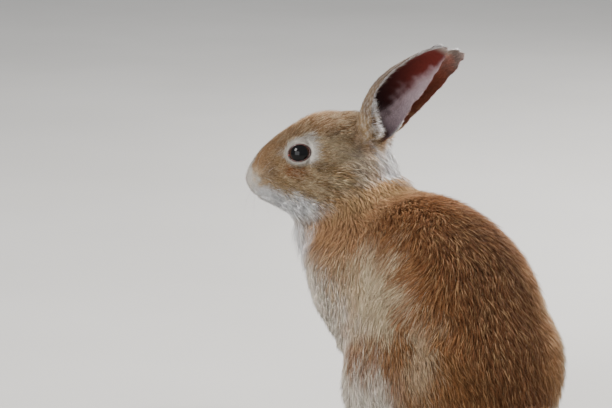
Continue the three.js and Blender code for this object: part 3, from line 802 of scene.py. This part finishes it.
# ---- Claws ----
# Blunt horn claws, a little curved, that show between the hairs of the toes.
claw_finish, wire = finish("claw", {"Roughness": 0.38, "Coat Weight": 0.2})
grain = wire.noise(500, detail=5, roughness=0.7).step(0.25, 0.8)
feed(claw_finish, Base_Color=grain.between((0.07, 0.045, 0.032, 1), (0.22, 0.15, 0.105, 1)),
     Normal=wire.bump(wire.noise(1800), 0.0001))
for name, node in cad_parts.items():
    if name.startswith("claw_"):
        node.data.materials.clear()
        node.data.materials.append(claw_finish)

# ---- The coat ----
# Guard hairs over a paler underfur, gathered in small tufts. Each tuft is a thin three-sided spike,
# bent once where the hair is long, that stands on the hide and lies along the way the fur grows.
rng = np.random.default_rng(11)
ROOT_DEPTH = 0.5 * MM  # that a tuft is sunk in the hide
HAIR_GAP = 0.4 * MM  # that the hair keeps above the floor
WAYS = {
    "neck": (-0.1, 0.70, -0.70), "tail": (0, 1, 0.1), "haunch": (0, 0.55, -0.84),
    "foreleg": (0, 0.15, -1), "hindfoot": (0, -1, -0.15), "forepaw": (0, -1, -0.25),
}
NOSE_TIP = np.array([0, -37, -17])
way = sum(share[:, kinds.index(kind)][:, None] * np.array(w, float) for kind, w in WAYS.items())
droop = np.radians(12 + 74 * step(body_places[:, 1], -60, 85))
droop = droop + np.radians(30) * step(np.abs(body_places[:, 0] - SPINE_X), 12, 40)
spineward = np.stack([0 * droop, np.cos(droop), -np.sin(droop)], 1)
way = way + share_of("trunk")[:, None] * spineward
breast = step(-normals[:, 1], 0.1, 0.6) * share_of("trunk", "neck")
way = way * (1 - breast[:, None]) + breast[:, None] * [0, 0.2, -1]
over_face = unit(face_places - NOSE_TIP) + step(face_places[:, 1], 18, 46)[:, None] * [0, 0.4, -1.3]
over_face = unit(over_face)
nearer_eye = np.stack([np.sign(face_places[:, 0]) * EYE_SIDE, 0 * opening, 0 * opening], 1)
from_eye = unit(face_places - nearer_eye)
near_eye = (1 - step(almond(face_places), 1.25, 2.1))[:, None]
over_face = over_face * (1 - near_eye) + from_eye * near_eye
way = way + on_head[:, None] * (over_face @ HEAD_AXES)
edgeward = np.sign(round_) * -np.sign(face_places[:, 0]) * step(np.abs(round_), 0.6, 0.95)
to_rim = edgeward[:, None] * np.cross(outward, ear_way)
rimward = (0.1 - 0.6 * inside + 1.3 * step(round_, 0.74, 0.88))[:, None] * to_rim
way = way + share_of("ear")[:, None] * ((ear_way + rimward) @ HEAD_AXES)
flow = laid_flat(way, normals)
flow = laid_flat(softened(flow, 10), normals)
swirl = 0.20 * ripple(body_places, 34, 5)[0] + 0.13 * ripple(body_places, 11, 6)[0]
flow = unit(flow + swirl[:, None] * np.cross(normals, flow) * (1 - 0.6 * share_of("head", "ear")[:, None]))

# Where tufts stand: more to a mm2 where they are short, none on the eyes, in the nostrils or on soles.
bare = (almond(face_places) < 1.06) | (nose_line["nostril"] > 0.25) | (nose_line["mouth"] > 0.6)
bare |= (points[:, 2] < 2.0 * MM) & (normals[:, 2] < -0.3)
corners = points[triangles]
spans = np.cross(corners[:, 1] - corners[:, 0], corners[:, 2] - corners[:, 0])
areas = np.linalg.norm(spans, axis=1) / 2 / MM ** 2
crowd = crowd * (1 - 0.45 * share_of("ear") * inside * (np.abs(round_) < 0.6))
crowd = crowd * (1 + 1.4 * share_of("ear") * step(round_, 0.78, 0.9))
due = np.cumsum(areas * crowd[triangles].mean(1) * (~bare[triangles].any(1)))
ticks = np.arange(int(due[-1])) + rng.random(int(due[-1]))
home = np.minimum(np.searchsorted(due, ticks), len(triangles) - 1)
a, b = rng.random((2, len(home)))
a, b = np.where(a + b > 1, 1 - a, a), np.where(a + b > 1, 1 - b, b)
weights = np.stack([1 - a - b, a, b], 1)


def at_roots(values):
    """A value of the hide's points at each tuft's root: the mean of its triangle's three, by weight."""
    return np.einsum("nk,nk...->n...", weights, values[triangles[home]])


root, up = at_roots(points), unit(at_roots(normals))
flow_at, share_at = laid_flat(at_roots(flow), up), at_roots(share)
long, wide, raised = at_roots(hair), at_roots(tuft_width), np.radians(at_roots(lift))
on_ear, on_face = share_at[:, [kinds.index("ear")]], share_at[:, [kinds.index("head")]]
short_fur = share_at[:, [kinds.index(k) for k in ("head", "ear", "hindfoot", "forepaw")]].sum(1) > 0.5
short_fur &= long < 7
straight = short_fur | (rng.random(len(root)) > 0.4)
long = long * rng.uniform(0.72, 1.22, len(root)) * np.where(straight & ~short_fur, 0.86, 1.0)
wide = wide * rng.uniform(0.7, 1.25, len(root))
raised = raised * rng.uniform(0.65, 1.3, len(root))
face_at = in_head(root)
ear_at = [at_roots(v) for v in ear]
front_rim = on_ear[:, 0] * step(ear_at[1], 0.8, 0.93) * (1 - step(ear_at[0], 0.7, 0.92))
long = long * (1 + 2.0 * front_rim)
raised = raised + np.radians(6) * front_rim
across = np.cross(up, flow_at)
lean = rng.normal(0, 0.19, len(root))[:, None] * across


def heading(angle):
    """The way of a hair that stands up from the lie of the coat by this angle, leaning a little aside."""
    return unit(np.cos(angle)[:, None] * flow_at + np.sin(angle)[:, None] * up + lean)


length = (long * MM)[:, None]
bend = root + 0.45 * length * heading(raised * 1.35)
tip = bend + 0.55 * length * heading(raised * 0.65)
slope = ripple(root / MM, 9.0, 8)[1] + 0.6 * ripple(root / MM, 4.5, 9)[1]
slope = slope - (slope * up).sum(1, keepdims=True) * up
pull = (0.06 * long * (1 - 0.5 * short_fur))[:, None] * MM * slope
bend, tip = bend + 0.35 * pull, tip + pull
base = root - ROOT_DEPTH * up
for end in (bend, tip):
    end[:, 2] = np.maximum(end[:, 2], HAIR_GAP)

# A tuft takes the colour of a place a little way off, so the marks' borders are mixed. A quarter of the
# tufts have dark tips, and another quarter are light.
strayed = rng.normal(size=(len(root), 3)) * (1 - on_ear)
tone = markings_and_painted_light(root / MM + 2.6 * strayed, face_at + 0.7 * strayed, share_at, up, ear_at)
draw = rng.random(len(root))
ticked = (draw < 0.24) & (tone.max(1) < 0.50) & (on_ear[:, 0] < 0.5)
light = (draw > 0.74)[:, None] * (0.34 + 0.14 * on_face) * (1 - on_ear)
golden = LINEAR["golden"] + on_face * (LINEAR["cream"] - LINEAR["golden"])
tone = tone + light * (np.maximum(golden, tone) - tone)
spread = 0.14 + 0.1 * on_face + 0.22 * on_ear
tone = tone * (1 + spread * rng.uniform(-1, 1, (len(root), 1))) * rng.uniform(0.96, 1.04, (len(root), 3))
tip_tone = np.where(ticked[:, None], 0.45 * tone + 0.55 * srgb(60, 34, 18), tone * 1.08)
# Painted shade: each tuft is darker at its root, where the coat shades itself.
shaded_root_tone = tone * 0.72

half = (wide * MM / 2)[:, None]


def section(middle, size):
    """The three corners of a flattened triangle: half its width to either side, and a third of it up."""
    aside = half * size * across
    return np.stack([middle - aside, middle + aside, middle + 0.7 * half * size * up], 1)


SPIKE = np.array([[0, 2, 1], [0, 1, 3], [1, 2, 3], [2, 0, 3]])
BENT_SPIKE = np.array([[0, 2, 1], [0, 1, 4], [0, 4, 3], [1, 2, 5], [1, 5, 4], [2, 0, 3], [2, 3, 5],
                       [3, 4, 6], [4, 5, 6], [5, 3, 6]])
PATCH = 0.003  # of the map, across the patch of each tuft
fur_finish, wire = finish("fur", {"Roughness": 0.6, "Specular IOR Level": 0.16})
strands = wire.noise(2600, detail=2).step(0.25, 0.8)
shade = wire.attribute("fur")
feed(fur_finish, Base_Color=(0.72 + 0.28 * strands).times(shade),
     Normal=wire.bump(wire.noise(3200, detail=2), 0.0002))


def unwrapped(chosen):
    """The corners' places, (n, 3, 2), of the chosen triangles of the hide on a flat unwrap of them."""
    used, back = np.unique(triangles[chosen], return_inverse=True)
    piece = new_piece("pattern", points[used], back.reshape(-1, 3))
    bpy.context.view_layer.objects.active = piece
    piece.select_set(True)
    bpy.ops.object.mode_set(mode="EDIT")
    bpy.ops.mesh.select_all(action="SELECT")
    bpy.ops.uv.smart_project(angle_limit=np.radians(70), island_margin=0.002)
    bpy.ops.object.mode_set(mode="OBJECT")
    flat = np.empty(len(chosen) * 6, np.float32)
    piece.data.uv_layers.active.data.foreach_get("uv", flat)
    bpy.data.objects.remove(piece)
    return flat.reshape(-1, 3, 2)


def thrice(values):
    """Each tuft's value again for each of the three corners of a section."""
    return np.repeat(values[:, None], 3, 1)


def furred(name, who, bent):
    """One piece of coat: a spike for each tuft in `who`, with its colours and its patches on the map."""
    if bent:
        shape = np.concatenate([section(base, 1.0)[who], section(bend, 0.85)[who], tip[who][:, None]], 1)
        colours = [thrice(shaded_root_tone[who]), thrice(tone[who]), tip_tone[who][:, None]]
        faces = BENT_SPIKE
        patch = np.array([[0, 0], [1, 0], [0.5, 0.05], [0, 0.5], [1, 0.5], [0.5, 0.55], [0.5, 1]])
    else:
        shape = np.concatenate([section(base, 1.0)[who], tip[who][:, None]], 1)
        # Painted shade: a straight spike is darker at its base too.
        colours = [thrice(0.8 * tone[who]), tip_tone[who][:, None]]
        faces = SPIKE
        patch = np.array([[0, 0], [1, 0], [0.5, 0.1], [0.5, 1]])
    count, corners_each = shape.shape[:2]
    all_faces = (faces[None] + corners_each * np.arange(count)[:, None, None]).reshape(-1, 3)
    piece = new_piece(name, shape.reshape(-1, 3), all_faces)
    paint(piece, "fur", np.clip(np.concatenate(colours, 1).reshape(-1, 3), 0, 1))
    chosen, back = np.unique(home[who], return_inverse=True)
    flat = np.einsum("nk,nkc->nc", weights[who], unwrapped(chosen)[back])
    places = (flat[:, None] + (patch[None] - 0.5) * PATCH).clip(0.001, 0.999).reshape(-1, 2)
    layer = piece.data.uv_layers.new(name="OFBake")
    layer.data.foreach_set("uv", places[all_faces.ravel()].astype(np.float32).ravel())
    piece.data.materials.append(fur_finish)
    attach(piece, "root")


MOST_TRIANGLES = 190000  # in one piece
belongs = share_at.argmax(1)
sided = root[:, 0] / MM > SPINE_X
for kind in kinds:
    mine = belongs == kinds.index(kind)
    hand = face_at[:, 0] > 0 if kind in ("ear", "head") else sided
    for side_name, on_side in (("left", mine & hand), ("right", mine & ~hand)):
        for bent in (False, True):
            who = np.flatnonzero(on_side & (straight == (not bent)))
            if not len(who):
                continue
            faces_each = len(BENT_SPIKE) if bent else len(SPIKE)
            parts = int(np.ceil(len(who) * faces_each / MOST_TRIANGLES))
            who = who[np.argsort(root[who, 1])]
            for i, some in enumerate(np.array_split(who, parts)):
                label = f"fur_{kind}_{side_name}" + ("_bent" if bent else "")
                furred(label + (f"_{i + 1}" if parts > 1 else ""), some, bent)

# ---- Whiskers ----
# Stiff tapered hairs that spring from rows on the pads of the upper lip, sweeping out and back.
whisker_finish, wire = finish("whisker", {"Roughness": 0.35})
greying = wire.noise(300).step(0.3, 0.7)
feed(whisker_finish, Base_Color=greying.between((0.30, 0.26, 0.23, 1), (0.62, 0.58, 0.54, 1)))
ROWS, TO_A_ROW = 4, 4
WHISKER_RADIUS = 0.065 * MM
for name, hand in (("left", 1), ("right", -1)):
    lines = []
    rng = np.random.default_rng(23)
    for row in range(ROWS):
        for place in range(TO_A_ROW):
            start_at = np.array([hand * (9.0 + 1.9 * place), -31.0 + 3.4 * place, -14 - 2.6 * row])
            size = rng.uniform(17, 26)
            t = np.linspace(0, 1, 12)[:, None]
            spring = np.array([hand * 0.70, -0.25 + 0.22 * place, 0.62 - 0.42 * row]) + rng.normal(0, 0.08, 3)
            droop = np.array([-hand * 0.10, 0.20, -0.14]) * size
            lines.append(from_head(start_at + t * size * unit(spring) + t ** 2 * droop))
    pieces = [tube("whisker", line, WHISKER_RADIUS * np.linspace(1, 0.3, 12), around=5) for line in lines]
    meshes = [(points_of(p.data), triangles_of(p.data)) for p in pieces]
    for p in pieces:
        bpy.data.objects.remove(p)
    places, faces, _ = joined(meshes)
    whiskers = new_piece(f"whiskers_{name}", places, faces)
    whiskers.data.materials.append(whisker_finish)
    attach(whiskers, "root")
